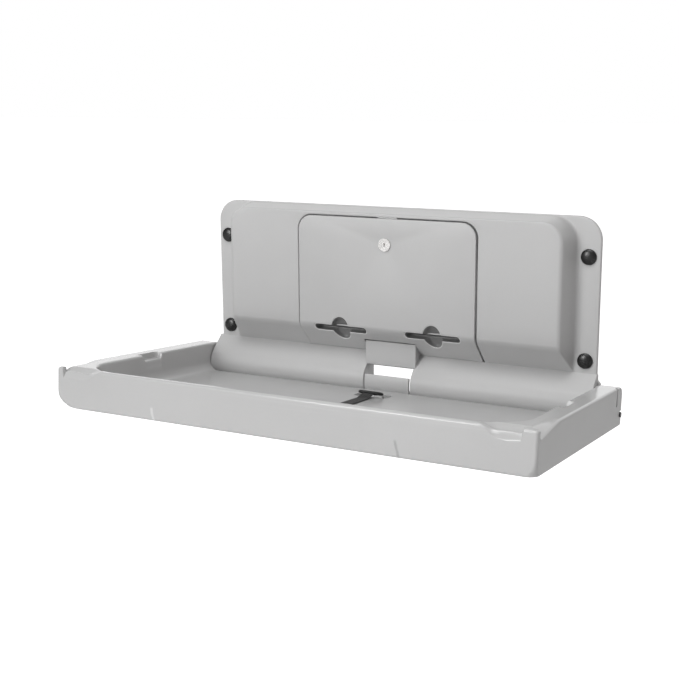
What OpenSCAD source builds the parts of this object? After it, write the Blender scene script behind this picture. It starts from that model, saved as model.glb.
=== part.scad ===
// Wall-mounted baby changing station with a fold-down bed, shown open.
// Frame: X to the right, -Y towards the user, +Z up. The origin lies on the wall plane,
// at the centre of the four wall bolts.

/* [Bed] */
// Width of the bed across its side walls
bed_w = 890; // [860:5:920]
// Distance from the hinge axis to the front face of the bed
bed_d = 458; // [440:2:470]
// Height of the bed from its underside to its rim
bed_h = 72; // [70:1:76]
// Thickness of the bed floor
floor_t = 17; // [14:1:18]
// Width of the front wall at the rim
front_t = 11.5; // [9:0.5:16]
// Upward slope of the open bed, in degrees
rest_tilt = 5.1; // [4:0.1:6]
// Radius of the bed's lower outer edges
bed_round = 28; // [16:1:32]

/* [Back panel] */
// Width of the flat flange of the back panel
panel_w = 796; // [780:2:800]
// Height of the panel's top edge above the underside of the bed
panel_h = 367; // [364:1:376]
// Thickness of the flange
flange_t = 7; // [6:0.5:8]
// Wall thickness of the moulded panel
shell_t = 4; // [3:0.5:4.5]
// How far the raised face stands in front of the flange
face_out = 48; // [44:1:49]
// Width of the raised face
face_w = 685; // [660:5:700]
// Width of the raised form where it meets the flange
foot_w = 709; // [705:2:716]
// Radius of the front sill that the bed folds round
sill_r = 38; // [35:0.5:38]

/* [Hinge] */
// Diameter of the hinge rod
rod_d = 8; // [7:0.5:9]
// Diameter of the rod that the open bed rests on
stop_d = 10; // [9:0.5:11]
// Running clearance of the rods, on the radius
run_gap = 0.05; // [0.03:0.01:0.08]

/* [Liner door] */
// Width of the door opening in the raised face
door_w = 372; // [350:2:380]
// Gap round the door
door_gap = 2.4; // [2:0.1:3]
// Radius of the door's upper corners
door_round = 28; // [20:1:34]

/* [Wall fixing] */
// Sideways distance between the wall bolts
bolt_dx = 754; // [750:1:760]
// Radius of the wall bolt holes
bolt_r = 4.5; // [4:0.25:5.5]
// Thickness of the steel wall plate
plate_t = 3; // [2.5:0.5:4]

/* [Strap] */
// Width of the safety strap
strap_w = 30; // [25:1:34]
// Thickness of the safety strap
strap_t = 1.6; // [1.2:0.2:2]

/* [Hidden] */
$fn = 48;
// Steps of each rounded corner
corner_steps = 7;
// How far a cut runs past the surface it opens
over = 1;
// Narrow gap between pieces that seat on each other
seat_gap = 0.3;
// Radius of small edge roundings
edge_r = 3;

// Heights above the underside of the bed, measured at the wall
valley_h = 85;
crease_h = 134.4;
face_top_h = panel_h - 8 * over;
bolt_low_h = 107.5;
bolt_from_top = 71.5;
bolt_dz = panel_h - bolt_from_top - bolt_low_h;
mid_h = bolt_low_h + bolt_dz / 2;
panel_face_y = -(plate_t + flange_t);
panel_round = 42;
face_round = 47;
flare_top_h = 93;
flare_low_h = 72;
side_wall_t = 38.8;
side_gap = 1.2;
bed_half = bed_w / 2;
sill_half = bed_half - side_wall_t - side_gap;
rise_share = 1.5;
sill_y = -3;
sill_h = 31;
sill_back = flange_t;
gap_half = 49.5;
mouth_h = 64;

// Hinge and stop, in front of the panel face and above the underside of the bed
hinge_y = -6;
hinge_h = 62;
stop_y = -9;
stop_h = 18.6;
hinge_over_floor = 64.6;
rod_short = 9;
bush_t = 1.5;
bush_l = 30;
boss_r = 8;
notch_half = 6.5;
rod_r = rod_d / 2;
stop_r = stop_d / 2;

// Bed values, measured from the hinge axis
rod_half = bed_half - rod_short;
bed_under = -hinge_over_floor;
rim_z = bed_under + bed_h;
floor_z = bed_under + floor_t;
inner_half = sill_half + side_gap;
well_front = -bed_d + front_t;
floor_back = -34.3;
bed_corner_r = 12;
well_round = 80;
well_foot_r = 20;
post_w = 25.5;
post_side = 10;
ledge_run = 64;
ledge_deep = 8;
scoop_run = 80;
scoop_deep = 20;
scoop_in = 6;
scoop_side_run = 84;
scoop_side_deep = 14;
scoop_side_in = 19;
pocket_from = -254;
pocket_to = -200;
pocket_w = 18;
pocket_deep = 16;
pocket_r = 7;
step_in = 2.4;
step_from = -29.5;

// Centre knuckle and hinge cover
knuckle_half = 47.5;
knuckle_top_h = 43;
knuckle_back_y = -3;
cover_half = 51.7;
cover_front_y = -23.5;
cover_t = 3;
cover_core_half = 26;
cover_screw_x = 38;
cover_screw_h = 78;
cover_screw_l = 14;

// Door values
door_sill_h = 87.8;
door_axis_y = 2;
door_axis_h = 92;
door_barrel_r = 4;
door_pin_r = 1.5;
door_pin_l = 26;
door_half = door_w / 2 - door_gap;
door_top_h = panel_h - 6 * door_gap;
door_notch_half = cover_half + 2.3;
door_notch_h = 112.5;
slot_h = 132.4;
slot_x = 96.5;
slot_l = 107;
slot_t = 9;
slot_hole_r = 17;

// Lock values
lock_from_top = 65.5;
lock_h = panel_h - lock_from_top;
bezel_r = 12.3;
bezel_out = 2.4;
barrel_r = 9;
plug_r = 6;
lock_nut_r = 13;
lock_nut_t = 3.6;
barrel_l = 12.6;
cam_t = 2;
cam_w = 12;
cam_l = 46;
keeper_half = 20;
keeper_t = 2.6;
keeper_foot = 14;
keeper_low_h = lock_h + cam_l - 9.5 * over;
key_shares = [0.12, 0.6, 0.3, 0.28];

// Tray values
tray_half = 150;
tray_low_h = 136;
tray_from_top = 83;
tray_high_h = panel_h - tray_from_top;
tray_screw_x = 110;
tray_out = 32;
tray_t = 2;

// Steel values
gusset_t = 4;
gusset_x = [60, 225, sill_half - 14];
gusset_r = 7.8;
plate_half = sill_half - 13;
plate_low_h = 2;
plate_from_top = 17;
plate_high_h = panel_h - plate_from_top;
plate_gap_half = 55;
window_from = 170;
window_to = 335;
window_low_h = 130;
window_high_h = plate_high_h - 25;
clip_r = 7.5;
clip_t = 1.5;
cap_r = 14.5;
cap_out = 7;
cap_t = 1.8;
shoulder_share = 0.6;
end_bolt_l = 8;
end_bolt_shank_r = 3;
end_bolt_shank_l = 18;
end_bolt_key = 3.2;

// Strap values, measured from the hinge axis of the bed
guide_w = 56;
guide_l = 25;
guide_t = 5;
guide_y = -88;
dish_deep = 4.5;
dish_gap = 6;
guide_hole_share = 0.39;
front_guide_y = well_front + 34.5;
buckle_from = front_guide_y + 15;
buckle_l = 40;
buckle_w = 44;
buckle_t = 15;
button_l = 12;
button_travel = 3;
tongue_l = 11;
tongue_t = 3;
tongue_bar = 4;
tongue_half = strap_w / 2 + 3;
adjuster_y = buckle_from + 69;
adjuster_l = 26;
adjuster_w = 40;
adjuster_t = 4;
lever_r = 3.4;
lever_l = 19;
screw_r = 2;
screw_head_r = 4;
screw_head_t = 2;

// Points of a rounded corner at b, between the edges that come from a and go to c
function corner_arc(a, b, c, r) =
    let (
        u = (a - b) / norm(a - b),
        v = (c - b) / norm(c - b),
        half = acos(u * v) / 2,
        middle = b + (u + v) / norm(u + v) * r / sin(half),
        p = b + u * r / tan(half) - middle,
        q = b + v * r / tan(half) - middle,
        from = atan2(p.y, p.x),
        turn = atan2(q.y, q.x) - from,
        sweep = turn > 180 ? turn - 360 : turn < -180 ? turn + 360 : turn
    )
    [for (i = [0 : corner_steps])
        middle + r * [cos(from + sweep * i / corner_steps), sin(from + sweep * i / corner_steps)]];

// Outline with its corners rounded, one radius for each corner and 0 for a sharp one
function rounded(points, radii) =
    let (n = len(points))
    [for (i = [0 : n - 1])
        each radii[i] > 0
            ? corner_arc(points[(i + n - 1) % n], points[i], points[(i + 1) % n], radii[i])
            : [points[i]]];

// Rectangle from a low corner to a high one, as outline points, anticlockwise
function box_points(low, high) = [low, [high.x, low.y], high, [low.x, high.y]];

// Extrusion along X of an outline in Y and Z
module along_x(from, to) {
    translate([from, 0, 0]) rotate([90, 0, 90]) linear_extrude(to - from) children();
}

// Extrusion along Y of an outline in X and Z
module along_y(from, to) {
    translate([0, to, 0]) rotate([90, 0, 0]) linear_extrude(to - from) children();
}

// Extrusion along Z of an outline in X and Y
module along_z(from, to) {
    translate([0, 0, from]) linear_extrude(to - from) children();
}

// Box between two corners
module block(low, high) {
    translate(low) cube(high - low);
}

// Round bar along X, from x0 to x1, at a place in Y and Z
module bar_x(x0, x1, y, z, r) {
    translate([x0, y, z]) rotate([0, 90, 0]) cylinder(r = r, h = x1 - x0);
}

// Round bar along Y, from y0 to y1, at a place in X and Z
module bar_y(y0, y1, x, z, r) {
    translate([x, y1, z]) rotate([90, 0, 0]) cylinder(r = r, h = y1 - y0);
}

// The shape and its mirror image across the middle of the station
module both_sides() {
    children();
    mirror([1, 0, 0]) children();
}

// Panel coordinates: y from the panel's face, z from the underside of the bed
module place_panel() {
    translate([0, panel_face_y, -mid_h]) children();
}

// Bed coordinates: the hinge axis, with the open bed's upward slope
module place_bed() {
    place_panel() translate([0, hinge_y, hinge_h]) rotate([-rest_tilt, 0, 0]) children();
}

// Raised form of the panel, drawn in by an inset on every outer face
module raised_form(inset) {
    slope = [-face_out, crease_h - valley_h];
    lift = inset * norm(slope) / face_out;
    back = flange_t + over;
    intersection() {
        along_x(-foot_w, foot_w) polygon(rounded(
            [[back, panel_h - inset], [0, panel_h - inset], [inset - face_out, face_top_h - inset],
                [inset - face_out, crease_h + lift - inset * slope.y / face_out],
                [0, valley_h + lift], [back, valley_h + lift]],
            [0, 0, edge_r * 3, edge_r * 4, 0, 0]));
        along_z(0, panel_h) polygon(rounded(
            [[-foot_w / 2 + inset, back], [-foot_w / 2 + inset, 0],
                [-face_w / 2 + inset, inset - face_out], [face_w / 2 - inset, inset - face_out],
                [foot_w / 2 - inset, 0], [foot_w / 2 - inset, back]],
            [0, 0, edge_r * 4, edge_r * 4, 0, 0]));
        along_y(-face_out, back) polygon(rounded(
            box_points([-foot_w / 2 + inset, 0], [foot_w / 2 - inset, panel_h - inset]),
            [0, 0, face_round - inset, face_round - inset]));
    }
}

// Outline of the sill, drawn in by an inset: a ramp that runs tangent into a round nose
module sill_outline(inset) {
    r = sill_r - inset;
    top = [0, valley_h - inset * rise_share];
    middle = [sill_y, sill_h];
    reach = norm(top - middle);
    lean = atan2(top.y - middle.y, top.x - middle.x) + acos(r / reach);
    touch = middle + r * [cos(lean), sin(lean)];
    back = sill_back + (inset > 0 ? over : 0);
    translate(middle) circle(r = r);
    polygon([[back, top.y], top, touch, middle, [middle.x, middle.y - r], [back, middle.y - r]]);
}

module wall_plate() {
    color("gainsboro") place_panel() difference() {
        along_y(flange_t, flange_t + plate_t) difference() {
            polygon(rounded(box_points([-plate_half, plate_low_h], [plate_half, plate_high_h]),
                [edge_r * 3, edge_r * 3, panel_round, panel_round]));
            translate([-plate_gap_half, plate_low_h - over])
                square([2 * plate_gap_half, mouth_h - plate_low_h + over]);
            for (side = [-1, 1])
                polygon(rounded(box_points(
                    [side * (window_from + window_to) / 2 - (window_to - window_from) / 2, window_low_h],
                    [side * (window_from + window_to) / 2 + (window_to - window_from) / 2, window_high_h]),
                    [edge_r * 4, edge_r * 4, edge_r * 4, edge_r * 4]));
        }
        wall_holes();
        tray_screw_holes();
        cover_screw_holes();
    }
}

// The four holes for the wall bolts, through the flange and the wall plate
module wall_holes() {
    for (x = [-bolt_dx / 2, bolt_dx / 2], z = [bolt_low_h, bolt_low_h + bolt_dz])
        bar_y(-over, flange_t + plate_t + over, x, z, bolt_r);
}

// Upright steel plates welded to the wall plate, each holding both rods
module hinge_gussets() {
    color("silver") place_panel() both_sides() for (x = gusset_x) difference() {
        along_x(x - gusset_t / 2, x + gusset_t / 2) union() {
            polygon([[flange_t, stop_h - gusset_r], [stop_y, stop_h - gusset_r],
                [stop_y - gusset_r, stop_h], [hinge_y - gusset_r, hinge_h],
                [hinge_y, hinge_h + gusset_r], [flange_t, hinge_h + gusset_r]]);
            translate([stop_y, stop_h]) circle(r = gusset_r);
            translate([hinge_y, hinge_h]) circle(r = gusset_r);
        }
        bar_x(x - gusset_t, x + gusset_t, hinge_y, hinge_h, rod_r + run_gap);
        bar_x(x - gusset_t, x + gusset_t, stop_y, stop_h, stop_r + run_gap);
    }
}

// Outline of the flange: rounded at the top and flared to the sill's ends below
module flange_outline() {
    half = panel_w / 2;
    polygon(rounded(
        [[-half, panel_h], [-half, flare_top_h], [-sill_half, flare_low_h], [-sill_half, mouth_h],
            [sill_half, mouth_h], [sill_half, flare_low_h], [half, flare_top_h], [half, panel_h]],
        [panel_round, edge_r * 4, edge_r, 0, 0, edge_r, edge_r * 4, panel_round]));
}

// Outline of the opening that the liner door fills
module door_opening_outline(gap) {
    half = door_half + gap;
    polygon(rounded(box_points([-half, valley_h - over], [half, door_top_h - door_gap + gap]),
        [0, 0, door_round + gap, door_round + gap]));
}

// Bracket under the panel's top wall that the lock's cam turns behind
module lock_keeper() {
    back = -face_out + barrel_l - seat_gap * 2;
    color("silver") place_panel() intersection() {
        raised_form(shell_t);
        union() {
            block([-keeper_half, back - keeper_t, keeper_low_h], [keeper_half, back, panel_h]);
            block([-keeper_half, back - over, door_top_h], [keeper_half, back + keeper_foot, panel_h]);
        }
    }
}

// Solid lugs beside the door that hold its pins
module pin_lugs() {
    intersection() {
        raised_form(0);
        both_sides() block([door_w / 2, door_axis_y - door_barrel_r, door_axis_h - 2 * door_barrel_r],
            [door_w / 2 + door_pin_l / 2, flange_t, door_axis_h + door_barrel_r + shell_t]);
    }
}

module back_panel() {
    color("lightgray") place_panel() difference() {
        union() {
            difference() {
                union() {
                    along_y(0, flange_t) flange_outline();
                    raised_form(0);
                    both_sides() along_x(gap_half, sill_half) sill_outline(0);
                }
                raised_form(shell_t);
                both_sides() along_x(gap_half + shell_t, sill_half - shell_t) sill_outline(shell_t);
                along_y(-2 * face_out, flange_t + over) door_opening_outline(door_gap);
            }
            pin_lugs();
        }
        block([-2 * foot_w, flange_t, -2 * sill_r], [2 * foot_w, 2 * face_out, 2 * panel_h]);
        bar_x(-door_w / 2 - over / 2, door_w / 2 + over / 2, door_axis_y, door_axis_h,
            door_axis_h - valley_h + over / 4);
        pin_bars(door_pin_r);
        bar_x(-sill_half - over, sill_half + over, hinge_y, hinge_h, rod_r + seat_gap);
        both_sides() bar_x(sill_half - 2 * shell_t, sill_half + over, stop_y, stop_h, stop_r + seat_gap);
        wall_holes();
        cover_screw_holes();
    }
}

// Black domes that hide the wall bolts' heads
module bolt_caps() {
    color("#1c1c1e") place_panel()
        for (x = [-bolt_dx / 2, bolt_dx / 2], z = [bolt_low_h, bolt_low_h + bolt_dz])
            translate([x, 0, z]) rotate([90, 0, 0]) rotate_extrude() difference() {
                cap_profile(cap_r, cap_out);
                translate([0, -over]) cap_profile(cap_r - cap_t, cap_out - cap_t + over);
            }
}

// Half section of a shallow dome with a rounded shoulder
module cap_profile(r, h) {
    shoulder = h * shoulder_share;
    square([r - shoulder, h]);
    square([r, h - shoulder]);
    translate([r - shoulder, h - shoulder]) intersection() {
        circle(r = shoulder);
        square(shoulder);
    }
}

module hinge_rod() {
    color("silver") place_panel() bar_x(-rod_half, rod_half, hinge_y, hinge_h, rod_r);
}

// Spring clips that keep the hinge rod from creeping sideways
module rod_clips() {
    x = gusset_x[2] + gusset_t / 2 + run_gap;
    color("dimgray") place_panel() both_sides() difference() {
        bar_x(x, x + clip_t, hinge_y, hinge_h, clip_r);
        bar_x(x - over, x + clip_t + over, hinge_y, hinge_h, rod_r);
    }
}

// One rod in each half of the sill, with a tapped end that faces outwards
module stop_rods() {
    color("silver") place_panel() both_sides() difference() {
        bar_x(gusset_x[0] - gusset_t / 2, rod_half, stop_y, stop_h, stop_r);
        bar_x(rod_half - end_bolt_shank_l, rod_half + over, stop_y, stop_h, end_bolt_shank_r);
    }
}

// Socket-head bolts in the outer ends of the stop rods
module stop_rod_bolts() {
    color("silver") place_panel() both_sides() difference() {
        union() {
            bar_x(rod_half - end_bolt_shank_l, rod_half, stop_y, stop_h, end_bolt_shank_r);
            bar_x(rod_half, rod_half + end_bolt_l, stop_y, stop_h, stop_r);
        }
        translate([rod_half + end_bolt_l / 2, stop_y, stop_h]) rotate([0, 90, 0])
            cylinder(r = end_bolt_key, h = end_bolt_l, $fn = 6);
    }
}

// Moulded cover over the middle of the hinge rod
module hinge_cover() {
    run = face_out / (crease_h - valley_h);
    top_h = valley_h - cover_front_y / run - seat_gap;
    color("lightgray") place_panel() difference() {
        along_x(-cover_half, cover_half) polygon(rounded(
            [[0, mouth_h], [cover_front_y, mouth_h], [cover_front_y, top_h],
                [-seat_gap, valley_h - seat_gap], [-seat_gap, mouth_h + over]],
            [0, edge_r / 2, edge_r / 2, 0, 0]));
        along_x(-cover_core_half, cover_core_half) polygon(
            [[over, mouth_h - over], [cover_front_y + cover_t, mouth_h - over],
                [cover_front_y + cover_t, top_h - 2 * cover_t], [over, valley_h - 2 * cover_t]]);
        bar_x(-cover_half - over, cover_half + over, hinge_y, hinge_h, rod_r + seat_gap);
        cover_screw_holes();
        both_sides() along_x(gap_half - seat_gap, cover_half + over) cover_relief();
        block([-cover_half - over, -seat_gap, 0], [cover_half + over, over, panel_h]);
    }
}

// Outline of the sill with a narrow gap round it, where the cover seats over its ends
module cover_relief() {
    translate([sill_y, sill_h]) circle(r = sill_r + seat_gap);
    top = [over, valley_h + 3 * over];
    middle = [sill_y, sill_h];
    r = sill_r + seat_gap;
    lean = atan2(top.y - middle.y, top.x - middle.x) + acos(r / norm(top - middle));
    polygon([top, middle + r * [cos(lean), sin(lean)], middle, [over, middle.y]]);
}

module cover_screw_holes() {
    back = flange_t + plate_t;
    both_sides() {
        bar_y(-cover_screw_l, back + over, cover_screw_x, cover_screw_h, screw_r);
        bar_y(back - screw_head_t, back + over, cover_screw_x, cover_screw_h, screw_head_r);
    }
}

// Screws from the back that hold the hinge cover
module cover_screws() {
    back = flange_t + plate_t;
    color("silver") place_panel() both_sides() {
        bar_y(-cover_screw_l + over, back - screw_head_t, cover_screw_x, cover_screw_h, screw_r);
        bar_y(back - screw_head_t, back, cover_screw_x, cover_screw_h, screw_head_r);
    }
}

module liner_tray() {
    color("whitesmoke") place_panel() difference() {
        block([-tray_half, -tray_out, tray_low_h], [tray_half, flange_t, tray_high_h]);
        block([-tray_half + tray_t, -tray_out - over, tray_low_h + tray_t],
            [tray_half - tray_t, flange_t - tray_t, tray_high_h + over]);
        tray_screw_holes();
    }
}

// Places of the screws that hold the tray to the wall plate
function tray_screw_places() = [for (side = [-1, 1]) [side * tray_screw_x, (tray_low_h + tray_high_h) / 2]];

module tray_screw_holes() {
    for (p = tray_screw_places())
        bar_y(-over, flange_t + plate_t + over, p.x, p.y, screw_r);
}

module tray_screws() {
    color("silver") place_panel() for (p = tray_screw_places()) {
        bar_y(flange_t - tray_t, flange_t + plate_t, p.x, p.y, screw_r);
        bar_y(flange_t - tray_t - screw_head_t, flange_t - tray_t, p.x, p.y, screw_head_r);
    }
}

// Bars on the door's axis, half in the panel's lugs and half in the door's barrel
module pin_bars(r) {
    middle = door_w / 2 - over;
    both_sides() bar_x(middle - door_pin_l / 2, middle + door_pin_l / 2, door_axis_y, door_axis_h, r);
}

module door_pins() {
    color("silver") place_panel() pin_bars(door_pin_r);
}

// Slot and thumb hole that a paper liner is drawn through
module liner_slot() {
    along_y(-2 * face_out, flange_t) {
        translate([-slot_l / 2 + slot_t / 2, -slot_t / 2]) square([slot_l - slot_t, slot_t]);
        for (end = [-1, 1]) translate([end * (slot_l - slot_t) / 2, 0]) circle(r = slot_t / 2);
        circle(r = slot_hole_r);
    }
}

module liner_door() {
    color("lightgray") place_panel() difference() {
        union() {
            intersection() {
                difference() {
                    raised_form(0);
                    raised_form(shell_t);
                }
                along_y(-2 * face_out, 0) difference() {
                    door_opening_outline(0);
                    translate([-door_half - over, 0]) square([2 * door_half + 2 * over, door_sill_h]);
                    translate([-door_notch_half, 0]) square([2 * door_notch_half, door_notch_h]);
                }
            }
            both_sides() bar_x(door_notch_half, door_half, door_axis_y, door_axis_h, door_barrel_r);
        }
        bar_y(-2 * face_out, 0, 0, lock_h, barrel_r);
        both_sides() translate([slot_x, 0, slot_h]) liner_slot();
        pin_bars(door_pin_r + run_gap);
    }
}

module lock_barrel() {
    color("silver") place_panel() difference() {
        union() {
            bar_y(-face_out - bezel_out, -face_out, 0, lock_h, bezel_r);
            bar_y(-face_out, -face_out + barrel_l, 0, lock_h, barrel_r);
        }
        bar_y(-2 * face_out, 0, 0, lock_h, plug_r + run_gap);
    }
}

module lock_nut() {
    color("silver") place_panel() difference() {
        translate([0, -face_out + shell_t + lock_nut_t, lock_h]) rotate([90, 0, 0])
            cylinder(r = lock_nut_r, h = lock_nut_t, $fn = 6);
        bar_y(-2 * face_out, 0, 0, lock_h, barrel_r);
    }
}

module lock_plug() {
    tail = -face_out + barrel_l + cam_t;
    color("darkgray") place_panel() difference() {
        bar_y(-face_out - bezel_out + seat_gap, tail, 0, lock_h, plug_r);
        along_y(-2 * face_out, -face_out + shell_t) {
            square_half = plug_r * [key_shares[0], key_shares[1]];
            translate([-square_half.x, lock_h - square_half.y]) square(2 * square_half);
            translate([0, lock_h + plug_r * key_shares[2]]) circle(r = plug_r * key_shares[3]);
        }
    }
}

module lock_cam() {
    front = -face_out + barrel_l;
    color("silver") place_panel() difference() {
        along_y(front, front + cam_t) {
            translate([0, lock_h]) circle(r = plug_r + cam_t);
            translate([0, lock_h - cam_w / 2]) square([cam_l - cam_w / 2, cam_w]);
            translate([cam_l - cam_w / 2, lock_h]) circle(r = cam_w / 2);
        }
        bar_y(-2 * face_out, 0, 0, lock_h, plug_r);
    }
}

// Outer form of the bed, before it is hollowed
module bed_outer() {
    intersection() {
        along_z(bed_under, rim_z) polygon(rounded(
            box_points([-bed_half, -bed_d], [bed_half, boss_r]),
            [bed_corner_r, bed_corner_r, bed_corner_r, bed_corner_r]));
        along_x(-bed_half, bed_half) polygon(rounded(
            box_points([-bed_d, bed_under], [boss_r, rim_z]),
            [bed_round, edge_r * 4, boss_r, edge_r]));
        along_y(-bed_d, boss_r) polygon(rounded(
            box_points([-bed_half, bed_under], [bed_half, rim_z]),
            [bed_round, bed_round, edge_r, edge_r]));
    }
}

// The well that the child lies in, open at the top and at the back
module bed_well() {
    back = 2 * boss_r;
    intersection() {
        along_z(floor_z, rim_z + over) polygon(rounded(
            box_points([-inner_half, well_front], [inner_half, back]),
            [well_round, well_round, 0, 0]));
        along_x(-inner_half, inner_half) polygon(rounded(
            box_points([well_front, floor_z], [back, rim_z + over]),
            [well_foot_r, 0, 0, 0]));
        along_y(well_front, back) polygon(rounded(
            box_points([-inner_half, floor_z], [inner_half, rim_z + over]),
            [well_foot_r, well_foot_r, 0, 0]));
    }
    difference() {
        block([-inner_half, floor_back, bed_under - over], [inner_half, back, rim_z + over]);
        block([-knuckle_half, floor_back - over, bed_under], [knuckle_half, knuckle_back_y, floor_z]);
    }
}

// Dip in the rim beside a corner post, deepest at the post
module rim_dip(run, deep) {
    r = (run * run + deep * deep) / (2 * deep);
    translate([0, r - deep]) intersection() {
        circle(r = r, $fn = 120);
        translate([-2 * run, -r]) square([2 * run, r]);
    }
}

// Finger scoops in the front rim and in the side rim of one front corner
module corner_scoops() {
    dip = bed_half - post_w;
    along_y(-bed_d - over, -bed_d + scoop_in) translate([dip, rim_z]) rim_dip(scoop_run, scoop_deep);
    along_y(-bed_d - over, -bed_d + post_side) translate([dip, rim_z]) rim_dip(ledge_run, ledge_deep);
    along_x(bed_half - scoop_side_in, bed_half + over) translate([-bed_d + post_side, rim_z])
        mirror([1, 0]) rim_dip(scoop_side_run, scoop_side_deep);
}

// Slot at the back of a side wall that drops over the end of the stop rod
module stop_notch() {
    arm = norm([stop_y - hinge_y, stop_h - hinge_h]);
    seat_turn = asin((notch_half - stop_r - seat_gap) / arm);
    lean = atan2(stop_y - hinge_y, hinge_h - stop_h) + rest_tilt + seat_turn;
    open_turn = 90 - lean;
    steps = 2 * corner_steps;
    out = [sin(lean), -cos(lean)];
    along = [-cos(lean), -sin(lean)];
    along_x(inner_half - over, bed_half + over) polygon([
        for (i = [0 : steps]) let (a = lean + open_turn * i / steps)
            (arm + notch_half) * [sin(a), -cos(a)],
        for (i = [steps : -1 : 1]) let (a = lean + open_turn * i / steps)
            (arm - notch_half) * [sin(a), -cos(a)],
        for (i = [0 : steps - 1]) let (a = 180 * i / steps)
            arm * out + notch_half * (sin(a) * along - cos(a) * out)]);
}

module bed_shell() {
    color("lightgray") place_bed() difference() {
        bed_outer();
        bed_well();
        both_sides() {
            corner_scoops();
            stop_notch();
            bar_x(inner_half - over, rod_half + 2 * over, 0, 0, rod_r + bush_t);
            block([bed_half - step_in, step_from, bed_under - over],
                [bed_half + over, 2 * boss_r, rim_z + over]);
            along_z(rim_z - pocket_deep, rim_z + over) polygon(rounded(
                box_points([inner_half - pocket_w, pocket_from], [inner_half + pocket_w, pocket_to]),
                [0, pocket_r, pocket_r, 0]));
        }
        guide_dish(guide_y);
        guide_screw_holes();
        knuckle_screw_holes();
    }
}

module hinge_bushes() {
    color("ivory") place_bed() both_sides() difference() {
        bar_x(inner_half, inner_half + bush_l, 0, 0, rod_r + bush_t);
        bar_x(inner_half - over, inner_half + bush_l + over, 0, 0, rod_r + run_gap);
    }
}

// Block in the middle of the bed that closes the gap between the two halves of the sill
module centre_knuckle() {
    color("lightgray") difference() {
        place_panel() along_x(-knuckle_half, knuckle_half) difference() {
            intersection() {
                translate([sill_y, sill_h]) circle(r = sill_r);
                translate([sill_y - 2 * sill_r, 0]) square([2 * sill_r, knuckle_top_h]);
            }
        }
        place_bed() block([-bed_half, -bed_d, bed_under - over], [bed_half, bed_d, floor_z]);
        place_bed() knuckle_screw_holes();
    }
}

function knuckle_screw_places() =
    [for (side = [-1, 1]) [side * knuckle_half / 2, (knuckle_back_y + floor_back) / 2]];

module knuckle_screw_holes() {
    for (p = knuckle_screw_places()) {
        translate([p.x, p.y, bed_under - over]) cylinder(r = screw_r, h = floor_t + floor_t / 2);
        translate([p.x, p.y, bed_under - over])
            cylinder(r = screw_head_r + seat_gap, h = over + screw_head_t);
    }
}

module knuckle_screws() {
    color("silver") place_bed() for (p = knuckle_screw_places()) {
        translate([p.x, p.y, bed_under]) cylinder(r = screw_head_r, h = screw_head_t);
        translate([p.x, p.y, bed_under]) cylinder(r = screw_r, h = floor_t + floor_t / 2 - over);
    }
}

// Shallow dish in the floor that keeps the strap guide low
module guide_dish(y) {
    w = guide_w + 2 * dish_gap;
    l = guide_l + 2 * dish_gap;
    along_z(floor_z - dish_deep, floor_z + over) translate([0, y])
        polygon(rounded(box_points([-w / 2, -l / 2], [w / 2, l / 2]), [l / 3, l / 3, l / 3, l / 3]));
}

// Slotted plate that a strap end is sewn round, with its underside at z
module strap_guide(y, z) {
    slot = strap_w + 2 * over;
    translate([0, y, 0]) difference() {
        along_z(z, z + guide_t) polygon(rounded(
            box_points([-guide_w / 2, -guide_l / 2], [guide_w / 2, guide_l / 2]),
            [guide_l / 4, guide_l / 4, guide_l / 4, guide_l / 4]));
        block([-slot / 2, -guide_l / 4, z + guide_t / 2 - strap_t],
            [slot / 2, guide_l, z + guide_t / 2 + 2 * seat_gap]);
        for (side = [-1, 1]) translate([side * guide_w * guide_hole_share, 0, z - over])
            cylinder(r = screw_r, h = guide_t + 2 * over);
    }
}

function guide_rows() = [[guide_y, floor_z - dish_deep], [front_guide_y, floor_z]];

module guide_screw_holes() {
    for (row = guide_rows(), side = [-1, 1])
        translate([side * guide_w * guide_hole_share, row[0], row[1] - guide_t - over])
            cylinder(r = screw_r, h = guide_t + floor_t);
}

module guide_screws() {
    color("dimgray") place_bed() for (row = guide_rows(), side = [-1, 1])
        translate([side * guide_w * guide_hole_share, row[0], row[1]]) {
            translate([0, 0, -guide_t]) cylinder(r = screw_r, h = 2 * guide_t);
            translate([0, 0, guide_t]) cylinder(r = screw_head_r * 0.9, h = screw_head_t / 2);
        }
}

module rear_strap_guide() {
    color("#202022") place_bed() translate([0, 2 * guide_y, 0]) mirror([0, 1, 0])
        strap_guide(guide_y, floor_z - dish_deep);
}

module front_strap_guide() {
    color("#202022") place_bed() strap_guide(front_guide_y, floor_z);
}

// Strap from the rear guide to the loop round the buckle's tongue
module rear_strap() {
    to = guide_y - guide_l / 2 - dish_gap;
    z = floor_z + seat_gap;
    low = floor_z - dish_deep + guide_t / 2 - strap_t + seat_gap;
    bar_from = buckle_from + buckle_l + tongue_l - tongue_bar;
    loop_from = bar_from - strap_t - seat_gap;
    loop_to = bar_from + tongue_bar + strap_t + seat_gap;
    mid = z + buckle_t / 2;
    loop_half = tongue_t / 2 + seat_gap + strap_t;
    color("#202022") place_bed() along_x(-strap_w / 2, strap_w / 2) {
        polygon([[loop_to + 2 * over, z], [to, z], [guide_y - guide_l / 2, low], [guide_y, low],
            [guide_y, low + strap_t], [guide_y - guide_l / 2, low + strap_t], [to, z + strap_t],
            [loop_to + 2 * over, z + strap_t], [loop_to - strap_t / 2, mid],
            [loop_to - strap_t, mid - over]]);
        difference() {
            polygon(rounded(box_points([loop_from, mid - loop_half], [loop_to, mid + loop_half]),
                [strap_t, strap_t, strap_t, strap_t]));
            translate([loop_from + strap_t, mid - loop_half + strap_t])
                square([tongue_bar + 2 * seat_gap, tongue_t + 2 * seat_gap]);
        }
    }
}

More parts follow.
